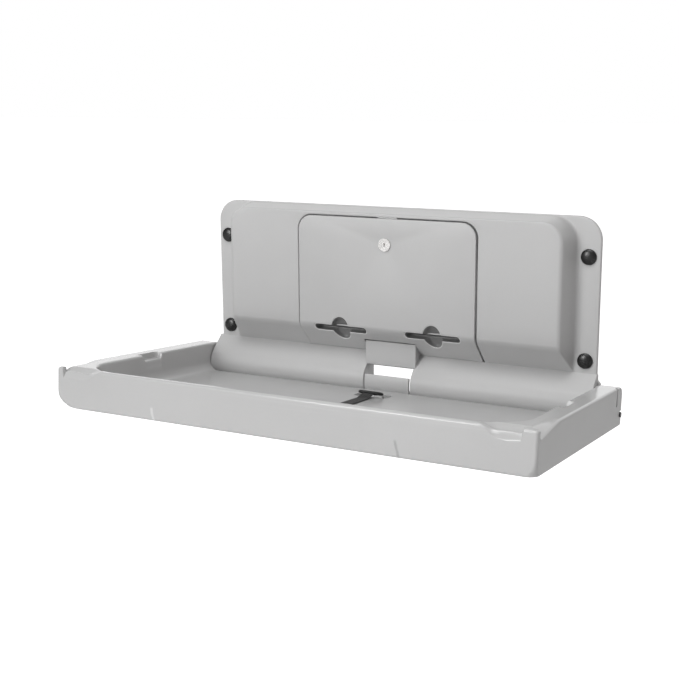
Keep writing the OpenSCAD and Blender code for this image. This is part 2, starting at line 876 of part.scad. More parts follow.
module front_strap() {
    z = floor_z + guide_t / 2 - strap_t + seat_gap;
    color("#202022") place_bed()
        block([-strap_w / 2, front_guide_y, z], [strap_w / 2, buckle_from - seat_gap, z + strap_t]);
}

// Three-bar slide on the rear strap, with ears for a cam lever
module strap_adjuster() {
    z = floor_z + 2 * seat_gap + strap_t;
    axle = z + adjuster_t + over;
    color("#202022") place_bed() translate([0, adjuster_y, 0]) difference() {
        union() {
            block([-adjuster_w / 2, -adjuster_l / 2, z], [adjuster_w / 2, adjuster_l / 2, z + adjuster_t]);
            both_sides() bar_x(strap_w / 2 + 2 * over, adjuster_w / 2, 0, axle, lever_r + over);
        }
        block([-strap_w / 2 - 2 * over, -adjuster_l / 4, z - over],
            [strap_w / 2 + 2 * over, adjuster_l / 3, z + 3 * adjuster_t]);
        bar_x(-adjuster_w, adjuster_w, 0, axle, lever_r / 2 + run_gap);
    }
}

module adjuster_lever() {
    z = floor_z + 2 * seat_gap + strap_t + adjuster_t + over;
    half = strap_w / 2 + over;
    color("#2a2a2c") place_bed() translate([0, adjuster_y, z]) {
        bar_x(-half, half, 0, 0, lever_r);
        bar_x(-adjuster_w / 2, adjuster_w / 2, 0, 0, lever_r / 2);
        block([-half, 0, lever_r / 3], [half, lever_l, lever_r]);
    }
}

module buckle_body() {
    z = floor_z + seat_gap;
    to = buckle_from + buckle_l;
    mid = z + buckle_t / 2;
    color("#202022") place_bed() difference() {
        intersection() {
            along_z(z, z + buckle_t) polygon(rounded(
                box_points([-buckle_w / 2, buckle_from], [buckle_w / 2, to]),
                [edge_r * 2, edge_r * 2, edge_r * 2, edge_r * 2]));
            along_x(-buckle_w / 2, buckle_w / 2) polygon(rounded(
                box_points([buckle_from, z], [to, z + buckle_t]), [0, 0, edge_r * 1.5, edge_r * 1.5]));
        }
        block([-tongue_half - seat_gap, to - buckle_l / 2 - over, mid - tongue_t / 2 - seat_gap],
            [tongue_half + seat_gap, to + over, mid + tongue_t / 2 + seat_gap]);
        block([-buckle_w / 4 - seat_gap, to - 2 * button_l, mid + tongue_t / 2 + over],
            [buckle_w / 4 + seat_gap, to - button_l, z + buckle_t + over]);
    }
}

module buckle_tongue() {
    z = floor_z + seat_gap;
    to = buckle_from + buckle_l;
    mid = z + buckle_t / 2;
    color("silver") place_bed() difference() {
        block([-tongue_half, to - buckle_l / 2, mid - tongue_t / 2],
            [tongue_half, to + tongue_l, mid + tongue_t / 2]);
        block([-strap_w / 2 - seat_gap, to + over, mid - tongue_t],
            [strap_w / 2 + seat_gap, to + tongue_l - tongue_bar, mid + tongue_t]);
    }
}

module buckle_button() {
    z = floor_z + seat_gap;
    to = buckle_from + buckle_l;
    mid = z + buckle_t / 2;
    color("firebrick") place_bed() block(
        [-buckle_w / 4, to - 2 * button_l + seat_gap, mid + tongue_t / 2 + over + button_travel],
        [buckle_w / 4, to - button_l - seat_gap, z + buckle_t + seat_gap]);
}

wall_plate();
hinge_gussets();
back_panel();
bolt_caps();
hinge_rod();
rod_clips();
stop_rods();
stop_rod_bolts();
hinge_cover();
cover_screws();
liner_tray();
tray_screws();
door_pins();
lock_keeper();
liner_door();
lock_barrel();
lock_nut();
lock_plug();
lock_cam();
bed_shell();
hinge_bushes();
centre_knuckle();
knuckle_screws();
rear_strap_guide();
front_strap_guide();
guide_screws();
rear_strap();
front_strap();
strap_adjuster();
adjuster_lever();
buckle_body();
buckle_tongue();
buckle_button();
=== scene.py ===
"""Looks of a wall-mounted baby changing station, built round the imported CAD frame.

Sizes are in millimetres, in two systems that the helpers turn into the frame's metres:
panel places (x, y from the panel's face, height above the bed's underside) and bed places
(x, y, z from the hinge axis, with the open bed's upward slope).
"""

import math

import bmesh
import bpy
import numpy as np
from mathutils import Matrix, Vector


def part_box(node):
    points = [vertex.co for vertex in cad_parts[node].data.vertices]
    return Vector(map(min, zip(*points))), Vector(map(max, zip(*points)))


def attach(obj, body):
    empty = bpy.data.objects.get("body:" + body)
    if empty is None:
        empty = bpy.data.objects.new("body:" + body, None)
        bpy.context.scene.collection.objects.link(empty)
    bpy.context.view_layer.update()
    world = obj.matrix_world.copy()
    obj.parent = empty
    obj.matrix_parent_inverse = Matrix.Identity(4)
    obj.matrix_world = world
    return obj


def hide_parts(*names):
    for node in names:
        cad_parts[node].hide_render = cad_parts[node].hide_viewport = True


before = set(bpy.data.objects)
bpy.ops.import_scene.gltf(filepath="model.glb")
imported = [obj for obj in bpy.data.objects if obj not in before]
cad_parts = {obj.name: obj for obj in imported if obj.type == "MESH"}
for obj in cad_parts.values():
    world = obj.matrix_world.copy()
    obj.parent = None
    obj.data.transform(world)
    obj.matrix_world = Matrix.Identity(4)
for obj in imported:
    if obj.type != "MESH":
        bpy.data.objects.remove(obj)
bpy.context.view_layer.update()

MM = 0.001
TILT = math.radians(5.1)
HINGE = (-6.0, 62.0)
PANEL_FACE_Y, MID_H = -10.0, 201.5

SENSOR, PHOTO_PIXELS, FOCAL_PIXELS = 36, 679, 1191.81
CAMERA_PLACE = (0.96202, -2.05439, 0.40016)
CAMERA_PAN, CAMERA_PITCH, CAMERA_ROLL = 27.94, 77.76, -0.42
FLOOR_SIZE, FLOOR_Z, FLOOR_GLOW, FLOOR_SEEN = 60, -0.78, 0.06, 0.75
FRONT_LIGHT, RIGHT_LIGHT = (0.24, 0.24, 0.24, 1), (0.22, 0.205, 0.20, 1)
BACKDROP_LIGHT = (1.3, 1.3, 1.3, 1)
KEY_WATTS, TOP_WATTS = 185.0, 34.0


# Places


def panel_place(points):
    """Panel places in millimetres, as world places in metres."""
    p = np.asarray(points, float)
    return (p + (0, PANEL_FACE_Y, -MID_H)) * MM


def bed_place(points):
    """Bed places in millimetres, as world places in metres."""
    p = np.asarray(points, float)
    c, s = math.cos(TILT), math.sin(TILT)
    turned = np.stack([p[..., 0], p[..., 1] * c + p[..., 2] * s, p[..., 2] * c - p[..., 1] * s], -1)
    return panel_place(turned + (0, HINGE[0], HINGE[1]))


def smooth(t):
    """0 below 0, 1 above 1, and the S of t squared times (3 - 2t) between."""
    t = np.clip(t, 0.0, 1.0)
    return t * t * (3 - 2 * t)


# Camera, light and floor


def make_camera():
    """The camera fitted to the photo: tipped, panned and rolled by turns in degrees; its lens is
    the focal length in pixels as a share of the picture's width, times the sensor's width."""
    data = bpy.data.cameras.new("camera")
    data.sensor_width = SENSOR
    data.lens = FOCAL_PIXELS / PHOTO_PIXELS * SENSOR
    data.clip_end = 50
    cam = bpy.data.objects.new("camera", data)
    bpy.context.collection.objects.link(cam)
    pan = Matrix.Rotation(math.radians(CAMERA_PAN), 4, "Z")
    pitch = Matrix.Rotation(math.radians(CAMERA_PITCH), 4, "X")
    roll = Matrix.Rotation(math.radians(CAMERA_ROLL), 4, "Z")
    cam.matrix_world = Matrix.Translation(CAMERA_PLACE) @ (pan @ pitch @ roll)
    bpy.context.scene.camera = cam


def make_light(name, place, target, size, watts):
    """A rectangular soft light whose face looks from its place to its target."""
    data = bpy.data.lights.new(name, "AREA")
    data.shape = "RECTANGLE"
    data.size, data.size_y = size
    data.energy = watts
    light = bpy.data.objects.new(name, data)
    bpy.context.collection.objects.link(light)
    light.location = place
    light.rotation_euler = (Vector(target) - Vector(place)).to_track_quat("-Z", "Y").to_euler()


def make_world():
    """Studio surroundings by direction: a white backdrop behind the unit up to about 45 degrees,
    a dimmer front and top, and a dim, slightly warm right side; the camera itself sees white."""
    world = bpy.data.worlds.new("studio")
    bpy.context.scene.world = world
    world.use_nodes = True
    graph = Graph(world.node_tree)
    way = graph.add("ShaderNodeTexCoord", out="Generated")
    right, behind, up = (graph.add("ShaderNodeSeparateXYZ", sockets={0: way}, out=i) for i in range(3))
    backdrop = behind.step(0.10, 0.45) * (1 - up.step(0.45, 0.80))
    dim = graph.mix(right.step(0.1, 0.8), FRONT_LIGHT, RIGHT_LIGHT)
    light = graph.mix(backdrop, dim, BACKDROP_LIGHT)
    seen = graph.add("ShaderNodeLightPath", out="Is Camera Ray")
    graph.join(graph.tree.nodes["Background"].inputs["Color"], graph.mix(seen, light, (1, 1, 1, 1)))


def make_surroundings():
    """The studio: surroundings, a softbox in front on the left, a small one above, and a wide pale
    floor below, which is a flat square."""
    make_world()
    bpy.context.scene.view_settings.view_transform = "Standard"
    make_light("key", (-2.3, -6.0, 1.7), (0, -0.15, -0.02), (1.9, 2.8), KEY_WATTS)
    make_light("top", (0.2, -1.3, 2.2), (0, -0.25, -0.15), (1.6, 1.2), TOP_WATTS)

    def flat(u, v):
        return np.stack([(u - 0.5) * FLOOR_SIZE, (v - 0.5) * FLOOR_SIZE, np.full_like(u, FLOOR_Z)], -1)

    floor = grid_object("floor", flat, 2, 2)
    floor.data.materials.append(materials["floor"])


# Shader sums


class Value:
    """Wraps a shader socket, so that sums of sockets and numbers are written as expressions."""

    def __init__(self, graph, socket):
        self.graph = graph
        self.socket = socket

    def apply(self, operation, *values):
        """The node that does one operation on the values, in their order."""
        return self.graph.add("ShaderNodeMath", {"operation": operation}, dict(enumerate(values)))

    def __add__(self, other):
        return self.apply("ADD", self, other)

    def __sub__(self, other):
        return self.apply("SUBTRACT", self, other)

    def __rsub__(self, other):
        return self.apply("SUBTRACT", other, self)

    def __mul__(self, other):
        return self.apply("MULTIPLY", self, other)

    def __abs__(self):
        return self.apply("ABSOLUTE", self)

    __radd__ = __add__
    __rmul__ = __mul__

    def sine(self):
        """The sine of the value in radians."""
        return self.apply("SINE", self)

    def step(self, low, high):
        """0 below low, 1 above high, and a smooth S between."""
        return self.graph.add("ShaderNodeMapRange", {"interpolation_type": "SMOOTHSTEP"},
                              {"Value": self, "From Min": low, "From Max": high}, "Result")


class Graph:
    """A node tree, in which every node that isn't part of a sum comes from add."""

    def __init__(self, tree):
        self.tree = tree

    def add(self, kind, settings=None, sockets=None, out=0):
        """A node of a type, with its settings made first and then its sockets' values or links."""
        node = self.tree.nodes.new(kind)
        for key, value in (settings or {}).items():
            setattr(node, key, value)
        for key, value in (sockets or {}).items():
            self.join(node.inputs[key], value)
        return Value(self, node.outputs[out])

    def join(self, slot, value):
        """Links a socket's value to a slot, or sets the slot to a plain number or colour."""
        if isinstance(value, Value):
            self.tree.links.new(value.socket, slot)
        else:
            slot.default_value = value

    def mix(self, factor, first, second):
        """The first colour where the factor is 0, the second where it is 1."""
        return self.add("ShaderNodeMix", {"data_type": "RGBA"}, {0: factor, 6: first, 7: second}, 2)


FRONT_WALL = (-0.462, -0.452)
RIB_RATE, WEFT_RATE = 1256.6, 2513.2


class Finish(Graph):
    """A principled material whose patterns are worked out in object places."""

    def __init__(self, name):
        self.material = bpy.data.materials.new(name)
        self.material.use_nodes = True
        super().__init__(self.material.node_tree)
        self.shader = self.tree.nodes["Principled BSDF"]
        self.place = self.add("ShaderNodeTexCoord", out="Object")

    def feed(self, **values):
        """Gives the shader's sockets, named with _ for a space, their values or links."""
        for key, value in values.items():
            self.join(self.shader.inputs[key.replace("_", " ")], value)

    def part(self, index, vector=None):
        """One part of a vector, or of the object place: 0 right, 1 deep, 2 up."""
        return self.add("ShaderNodeSeparateXYZ", sockets={0: vector or self.place}, out=index)

    def noise(self, scale, detail=2.0, roughness=0.5, stretch=(1, 1, 1)):
        """Cloudy noise between 0 and 1, stretched where a share of the scale is below 1."""
        vector = self.add("ShaderNodeMapping", sockets={"Vector": self.place, "Scale": stretch})
        return self.add("ShaderNodeTexNoise", sockets={
            "Vector": vector, "Scale": scale, "Detail": detail, "Roughness": roughness}, out="Fac")

    def bump(self, height, distance, strength):
        """Bends the surface's normal by a height, which is worth a distance in metres."""
        self.feed(Normal=self.add("ShaderNodeBump", sockets={
            "Height": height, "Distance": distance, "Strength": strength}))


def grey(value, warm=0.0):
    """A near-neutral colour, warmed or cooled a little."""
    return (value * (1 + warm), value, value * (1 - warm), 1)


def moulded(name, tone, grain=900.0, rough=0.45, warm=0.0, extra=None, relief=0.5):
    """Rotationally moulded polyethylene: fine grain and soft orange peel as bump, and a faint
    cloudy tone with specks and rub marks; roughness is the base plus shares of cloud and speck."""
    f = Finish(name)
    cloud = f.noise(5.0, 3.0, 0.6)
    speck = f.noise(260.0, 2.0, 0.7)
    rubbed = f.noise(38.0, 5.0, 0.72, (1.0, 1.0, 3.0)).step(0.60, 0.78)
    base = f.mix(cloud.step(0.3, 0.7), grey(tone * 0.98, warm), grey(tone * 1.015, warm))
    base = f.mix(speck.step(0.35, 0.75) * 0.06, base, grey(tone * 0.8, warm))
    base = f.mix(rubbed * 0.08, base, grey(min(tone * 1.25, 0.9), warm))
    if extra:
        base = extra(f, base, tone)
    f.feed(Base_Color=base, Roughness=cloud * 0.05 + speck * 0.04 + rubbed * 0.03 + (rough - 0.05),
           Specular_IOR_Level=0.5)
    f.bump(f.noise(grain, 2.0, 0.6) * 0.3 + f.noise(95.0, 2.0, 0.5) * 0.4, 0.00018, relief)
    return f.material


def painted_rim_highlight(f, base, tone):
    """Painted highlight: the hole rims that the mesh marks with an attribute are made lighter, standing in
    for light caught on their rounded edges.
    """
    wear = f.add("ShaderNodeAttribute", {"attribute_name": "wear"}, out="Fac")
    return f.mix(wear * 0.75, base, grey(min(tone * 1.7, 0.85)))


def scuff(f, x, z, lean, width, reach):
    """A short slanting mark on the bed's front: 1 on a line that shifts sideways by the lean times
    the height and is made ragged by noise, and fading with the distance from its middle."""
    right, deep, up = (f.part(i) for i in range(3))
    across = abs(right - x - (up - z) * lean + f.noise(60.0) * 0.006 - 0.003)
    along = abs(up - z)
    line = (1 - across.step(width * 0.3, width)) * (1 - along.step(reach * 0.6, reach))
    return line * (1 - deep.step(*FRONT_WALL))


def bed_marks(f, base, tone):
    """Two scuffs low on the front wall, a dark one on the right and a pale one on the left, and pale
    flow lines along its upper half from noise that is stretched along it."""
    base = f.mix(scuff(f, 0.222, -0.150, -0.28, 0.0032, 0.017) * 0.45, base, grey(tone * 0.45))
    base = f.mix(scuff(f, -0.236, -0.152, -0.25, 0.0040, 0.014) * 0.5, base, grey(tone * 1.5))
    flow = f.noise(30.0, 3.0, 0.6, (0.05, 1.0, 1.6)).step(0.52, 0.68)
    high = f.part(2).step(-0.135, -0.105) * (1 - f.part(1).step(*FRONT_WALL))
    return f.mix(flow * high * 0.16, base, grey(tone * 1.35))


def metal(name, tone, rough, stretch=(1, 1, 1), warm=0.0):
    """Plated or drawn metal: fine streaks in roughness and bump, and small stains in tone;
    roughness is the base plus shares of streak and stain."""
    f = Finish(name)
    streak = f.noise(700.0, 3.0, 0.6, stretch)
    stain = f.noise(60.0, 3.0, 0.6)
    base = f.mix(stain.step(0.35, 0.75), grey(tone, warm), grey(tone * 0.82, warm))
    f.feed(Base_Color=base, Roughness=streak * 0.18 + stain * 0.10 + (rough - 0.14), Metallic=1.0)
    f.bump(streak, 0.00006, 0.5)
    return f.material


def black_plastic(name, rough, grain):
    """Black moulded plastic with dust where fine noise is high, in its tone and its roughness."""
    f = Finish(name)
    dust = f.noise(420.0, 3.0, 0.7).step(0.55, 0.8)
    base = f.mix(dust * 0.20, grey(0.011), grey(0.045))
    f.feed(Base_Color=base, Roughness=f.noise(120.0) * 0.12 + dust * 0.08 + (rough - 0.06),
           Specular_IOR_Level=0.5)
    f.bump(f.noise(grain, 2.0, 0.6), 0.00012, 0.5)
    return f.material


def webbing(name):
    """Black woven strap: sine ribs every 5 mm across the width, a cross weave twice as fine that
    shifts with the ribs, and a little fuzz."""
    f = Finish(name)
    uv = f.add("ShaderNodeTexCoord", out="UV")
    rib = (f.part(0, uv) * RIB_RATE).sine()
    weft = (f.part(1, uv) * WEFT_RATE + rib * 1.2).sine()
    cloth = rib * 0.6 + weft * 0.4
    fuzz = f.noise(1500.0, 2.0, 0.7)
    base = f.mix(cloth.step(-0.8, 0.9), grey(0.007), grey(0.030))
    base = f.mix(fuzz.step(0.6, 0.9) * 0.2, base, grey(0.07))
    f.feed(Base_Color=base, Roughness=0.85 - fuzz * 0.1, Sheen_Weight=0.12)
    f.bump(cloth + fuzz * 0.5, 0.0003, 0.8)
    return f.material


def floor_material():
    """Pale studio floor; its own glow is stronger where it is looked at than where it lights."""
    f = Finish("floor")
    f.feed(Base_Color=f.mix(f.noise(3.0), grey(0.78), grey(0.80)), Roughness=0.95)
    f.feed(Emission_Color=(1, 1, 1, 1))
    seen = f.add("ShaderNodeLightPath", out="Is Camera Ray")
    f.feed(Emission_Strength=seen * FLOOR_SEEN + FLOOR_GLOW)
    return f.material


materials = {
    "shell": moulded("moulded_grey", 0.50),
    "bed": moulded("bed_grey", 0.50, extra=bed_marks, rough=0.20, relief=0.2),
    # The door's hole rims get a painted highlight from their marking attribute.
    "door": moulded("door_grey", 0.495, extra=painted_rim_highlight),
    "cap": black_plastic("cap_black", 0.28, 500.0),
    "black": black_plastic("hardware_black", 0.5, 900.0),
    "webbing": webbing("webbing_black"),
    "steel": metal("zinc_steel", 0.62, 0.34, (0.05, 1, 1)),
    "plate": moulded("coated_plate", 0.56, 1500.0, 0.42),
    "lock": metal("lock_nickel", 0.70, 0.24, warm=0.015),
    "bush": moulded("bush_acetal", 0.72, 1500.0, 0.4, 0.02),
    "tray": moulded("tray_white", 0.66, 1500.0, 0.4),
    # Darker copy of the moulded grey for the cups behind the slots: painted shade inside the slot holes.
    "cup": moulded("cup_shaded_grey", 0.20, 1200.0, 0.35),
    "floor": floor_material(),
}


# Mesh helpers


def mesh_object(name, points, faces, sharp=32):
    """A mesh of points in metres, shaded smooth but for edges sharper than the angle given."""
    mesh = bpy.data.meshes.new(name)
    mesh.from_pydata(np.asarray(points, float).reshape(-1, 3).tolist(), [], faces)
    mesh.validate()
    obj = bpy.data.objects.new(name, mesh)
    bpy.context.collection.objects.link(obj)
    tidy_mesh(obj, sharp)
    return obj


def tidy_mesh(obj, sharp=32):
    """Outward normals, no doubled points, and smooth shading with an angle limit."""
    bm = bmesh.new()
    bm.from_mesh(obj.data)
    bmesh.ops.remove_doubles(bm, verts=bm.verts, dist=2e-6)
    bmesh.ops.recalc_face_normals(bm, faces=bm.faces)
    bm.to_mesh(obj.data)
    bm.free()
    obj.data.shade_smooth()
    obj.data.set_sharp_from_angle(angle=math.radians(sharp))


def quads(rows, columns, closed=False, start=0):
    """Quads of a grid of points, row by row, whose rows may close on themselves."""
    last = columns if closed else columns - 1
    return [
        (start + i * columns + j, start + i * columns + (j + 1) % columns,
         start + (i + 1) * columns + (j + 1) % columns, start + (i + 1) * columns + j)
        for i in range(rows - 1) for j in range(last)
    ]


def grid_object(name, place, rows, columns):
    """An open surface whose place is a function of u and v, which run from 0 to 1."""
    u, v = np.meshgrid(np.linspace(0, 1, rows), np.linspace(0, 1, columns), indexing="ij")
    return mesh_object(name, place(u, v), quads(rows, columns))


def prism(name, outline, low, high, axis, to_world, sharp=32):
    """A solid whose outline, in millimetres, is drawn out along an axis.

    The outline's pairs are the two other axes, in x, y, z order."""
    outline = np.asarray(outline, float)
    n = len(outline)
    both_ends = [np.insert(outline, axis, value, axis=1) for value in (low, high)]
    sides = [(i, (i + 1) % n, n + (i + 1) % n, n + i) for i in range(n)]
    faces = sides + [tuple(range(n))[::-1], tuple(range(n, 2 * n))]
    return mesh_object(name, to_world(np.vstack(both_ends)), faces, sharp)


def apply_modifiers(obj):
    """The object with its modifiers worked into its mesh."""
    graph = bpy.context.evaluated_depsgraph_get()
    mesh = bpy.data.meshes.new_from_object(obj.evaluated_get(graph))
    obj.modifiers.clear()
    old = obj.data
    obj.data = mesh
    bpy.data.meshes.remove(old)


def cut(obj, cutters):
    """The object less the cutters, which are then removed."""
    for cutter in cutters:
        mod = obj.modifiers.new("cut", "BOOLEAN")
        mod.operation = "DIFFERENCE"
        mod.solver = "EXACT"
        mod.object = cutter
    bpy.context.view_layer.update()
    apply_modifiers(obj)
    for cutter in cutters:
        bpy.data.objects.remove(cutter, do_unlink=True)


def soften(obj, width, segments=3, limit=40):
    """Rounds the edges that are sharper than the limit, by a width in millimetres."""
    mod = obj.modifiers.new("soften", "BEVEL")
    mod.width = width * MM
    mod.segments = segments
    mod.limit_method = "ANGLE"
    mod.angle_limit = math.radians(limit)
    mod.use_clamp_overlap = True
    bpy.context.view_layer.update()
    apply_modifiers(obj)
    obj.data.shade_smooth()
    obj.data.set_sharp_from_angle(angle=math.radians(50))


def stand_in(obj, material, body, slot, *nodes):
    """The piece takes its material, rides on its body and stands for the CAD nodes, if any."""
    obj.data.materials.clear()
    obj.data.materials.append(materials[material])
    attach(obj, body)
    if nodes:
        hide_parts(*nodes)


# Bed

BED_HALF, BED_FRONT, BED_BACK = 445.0, -458.0, 8.0
BED_UNDER, RIM, FLOOR = -64.6, 7.4, -47.6
INNER_HALF, INNER_FRONT, WELL_R, TIGHT_R = 406.2, -446.5, 80.0, 5.0
TUCK_Z, TUCK_HALF, TUCK_SHARE = -34, 430, 0.3


def bed_dip(x, y):
    """How far the rim is sunk at a place: S-shaped falls towards the corner posts for the ledges,
    a deeper fall across the front wall's outer lip, slanting scoops in the side rims, and a pocket
    in each side rail, whose walls are a short S of the distance from a rounded box."""
    out = np.abs(x)
    post = np.where(x < 0, 431.0, 419.5)
    ledge = 8.0 * smooth((out - 350) / 30) * (1 - smooth((y - BED_FRONT - 9) / 14))
    lip = 9.0 * smooth((out - 352) / 42) - 2.0 * smooth((out - 398) / 20)
    front = ledge + lip * (1 - smooth((y - BED_FRONT) / 7.5))
    side = 13.8 * np.clip((-356 - y) / 82, 0, 1) ** 1.15 * (1 - smooth((BED_HALF - out) / 19.0))
    corner = smooth((out - post) / 1.6) * smooth((-447.6 - y) / 1.6)
    scoop = np.maximum(front, side) * (1 - corner) - 0.8 * corner
    r = np.hypot(np.maximum(np.abs(y + 227) - 20, 0), np.maximum(out - 413.5, 0))
    pocket = 11.0 * (1 - smooth((r - 6.0) / 2.0)) * (out > 380)
    return np.maximum(scoop, pocket)


def quarter(steps, first=0):
    """Sine and cosine at even steps along a quarter turn."""
    a = np.radians(np.linspace(0, 90, steps)[first:])
    return zip(np.sin(a), np.cos(a))


def bed_rings():
    """Rings of the bed's form, from the floor outwards to the underside.

    Each is half width, front, corner radius, height, and how far it follows the rim's dips. The
    corner radius shrinks along the rim from the well's to a tight one, and grows again by a
    quarter circle down the outer wall, which makes ball-shaped lower corners."""
    rings = []
    foot, round_in, side_out, front_out, lower, draft = 20.0, 5.0, 3.5, 5.5, 4.0, 2.6
    tight, ball, ball_growth, edge_growth = TIGHT_R, 30.0, 70, 10
    half, front = INNER_HALF - draft, INNER_FRONT + draft
    for s, c in quarter(9):
        inset = foot * (1 - s)
        rings.append((half - inset, front + inset, WELL_R - draft - inset, FLOOR + foot * (1 - c), 0.0))
    top = RIM - round_in
    for t in np.linspace(0, 1, 12)[1:]:
        z = FLOOR + foot + (top - FLOOR - foot) * t
        rings.append((half + draft * t, front - draft * t, WELL_R - draft * (1 - t), z,
                      float(smooth((t - 0.05) / 0.95))))
    for s, c in quarter(7, 1):
        out = round_in * (1 - c)
        rings.append((INNER_HALF + out, INNER_FRONT - out * 0.5, WELL_R + out, top + round_in * s, 1.0))
    first = np.array((INNER_HALF + round_in, INNER_FRONT - round_in * 0.5, WELL_R + round_in))
    last = np.array((BED_HALF - side_out, BED_FRONT + front_out, tight))
    rings += [tuple(first * (1 - t) + last * t) + (RIM, 1.0) for t in np.linspace(0, 1, 44)[1:]]
    for s, c in quarter(7, 1):
        fall = (side_out + front_out) / 2 * (1 - c)
        rings.append((BED_HALF - side_out * (1 - s), BED_FRONT + front_out * (1 - s), tight,
                      RIM - fall, 1.0))
    low = BED_UNDER + ball
    start = rings[-1][3]
    for t in np.linspace(0, 1, 12)[1:]:
        rings.append((BED_HALF, BED_FRONT, tight, start + (low - start) * t,
                      float(1 - smooth(t / 0.95))))
    for s, c in quarter(11, 1):
        z = low - (ball - lower) * s
        swell = 1 - math.sqrt(max(1 - ((low - z) / ball) ** 2, 0))
        rings.append((BED_HALF, BED_FRONT, tight + ball_growth * swell, z, 0.0))
    wide = rings[-1][2]
    for s, c in quarter(6, 1):
        rings.append((BED_HALF - lower * (1 - c), BED_FRONT + lower * (1 - c),
                      wide + edge_growth * (1 - c), BED_UNDER + lower * (1 - s), 0.0))
    return rings


def bed_steps():
    """Where the rings are sampled: along a side, round a corner and along the front."""
    side = np.concatenate([np.linspace(8, -180, 12)[:-1], np.linspace(-180, -272, 76)[:-1],
                           np.linspace(-272, -340, 6)[:-1], np.linspace(-340, -458, 60)])
    front = np.concatenate([np.linspace(-1, -0.72, 70)[:-1], np.linspace(-0.72, 0.72, 24)[:-1],
                            np.linspace(0.72, 1, 70)])
    return side, front, np.linspace(0, 90, 45)


def ring_points(half, front, radius, side, across, turns, tuck=1.0):
    """A ring's path: down the left side, round the corner, along the front and back up the right,
    where the corner's radius may be tucked in to a share of what it has above a tight one."""
    reach = (front + radius - BED_BACK) / (BED_FRONT - BED_BACK)
    ys = BED_BACK + (side - BED_BACK) * reach
    left = np.stack([np.full_like(ys, -half), ys], -1)
    a = np.radians(180 + turns)
    corner = np.stack([-half + radius + radius * np.cos(a), front + radius + radius * np.sin(a)], -1)
    xs = across * (half - radius)
    middle = np.stack([xs, np.full_like(xs, front)], -1)
    other = np.concatenate([left, corner])[::-1] * (-1, 1)
    if tuck < 1:
        small = TIGHT_R + (radius - TIGHT_R) * tuck
        arc = np.stack([half - small + small * np.cos(-a[::-1] + math.pi),
                        front + small + small * np.sin(a[::-1])], -1)
        span, short_span = front + radius - BED_BACK, front + small - BED_BACK
        back = BED_BACK + (ys[::-1] - BED_BACK) * short_span / span
        straight = np.stack([-left[::-1, 0], back], -1)
        share = (xs + half - radius) / (2 * half - 2 * radius)
        middle[:, 0] = -half + radius + share * (2 * half - radius - small)
        other = np.concatenate([arc, straight])
    return np.concatenate([left, corner[1:-1], middle, other[1:]])


def ends(n, rows):
    """The two faces that close a loft of closed rows: the first row reversed and the last as it is."""
    return [tuple(range(n))[::-1], tuple((rows - 1) * n + i for i in range(n))]


def rear_corner(radius, steps=9):
    """What the side walls lack at their top rear corner: a square corner less its round."""
    middle = (BED_BACK - radius, RIM + 0.01 - radius)
    arc = circle_points(middle[0], middle[1], radius, steps, 90, -90, True)
    behind, above = BED_BACK + 9, RIM + 9
    return np.concatenate([[(behind, middle[1])], [(behind, above)], [(middle[0], above)], arc])


def make_bed():
    """The bed: a loft of rings whose heights are sunk by the dips, closed at the rear, the floor and
    the underside, less the hinge's slots and bores, the strap's dish and the seams behind."""
    side, across, turns = bed_steps()
    rows = []
    for half, front, radius, z, follow in bed_rings():
        tuck = TUCK_SHARE if z < TUCK_Z and half > TUCK_HALF else 1.0
        path = ring_points(half, front, radius, side, across, turns, tuck)
        rows.append(np.column_stack([path, z - bed_dip(path[:, 0], path[:, 1]) * follow]))
    n, count = len(rows[0]), len(rows)
    rear = [k * n for k in range(count)] + [k * n + n - 1 for k in range(count)][::-1]
    faces = quads(count, n) + ends(n, count) + [tuple(rear)]
    bed = mesh_object("bed", bed_place(np.concatenate(rows)), faces)
    half, low, high, tongue = INNER_HALF, -34.3, 40.0, 47.5
    plan = [(-half, low), (-tongue, low), (-tongue, -3), (tongue, -3),
            (tongue, low), (half, low), (half, high), (-half, high)]
    cutters = [prism("cutter", plan, BED_UNDER - 9, RIM + 9, 2, bed_place)]

    def both(outline, near, far):
        """Two mirrored cutters, between a near and a far distance from the middle."""
        return [prism("cutter", outline, *sorted((side * near, side * far)), 0, bed_place)
                for side in (-1, 1)]

    # On both sides: the slot over the stop rod, the seam, the rear corner's round and the bore.
    cutters += both(notch_outline(), 400, 460)
    cutters += both([(-28, -26), (-20.5, -26), (-20.5, 40), (-28, 40)], 441.6, 470)
    cutters += both(rear_corner(18.0), 380, 470)
    cutters += both(circle_points(0, 0, 5.6, 32), 400, 437)
    # The strap's dish, and the counterbores and bores of the knuckle's screws.
    cutters.append(prism("cutter", rounded_box(34, 18.5, 9, 0, -88), FLOOR - 4.5, FLOOR + 9, 2, bed_place))
    cutters += [prism("cutter", circle_points(x, -18.6, r, 24), BED_UNDER - 5, z, 2, bed_place)
                for x in (-23.75, 23.75) for r, z in ((4.3, BED_UNDER + 2), (2.0, BED_UNDER + 24))]
    cut(bed, cutters)
    tidy_mesh(bed, 36)
    stand_in(bed, "bed", "bed", "shell_plastic", "bed_shell")


def circle_points(x, y, radius, count, start=0.0, turn=360.0, closed=False):
    """Points at even turns round a middle: its place plus the radius times cosine and sine."""
    a = np.radians(start + turn * np.arange(count + closed) / count)
    return np.stack([x + radius * np.cos(a), y + radius * np.sin(a)], -1)


def rounded_box(half_w, half_l, radius, x=0.0, y=0.0, steps=8):
    """A box's outline, of four quarter circles set in from its corners by the radius."""
    return np.concatenate([
        circle_points(x + sx * (half_w - radius), y + sy * (half_l - radius), radius, steps,
                      start, 90, True)
        for sx, sy, start in ((1, 1, 0), (-1, 1, 90), (-1, -1, 180), (1, -1, 270))])


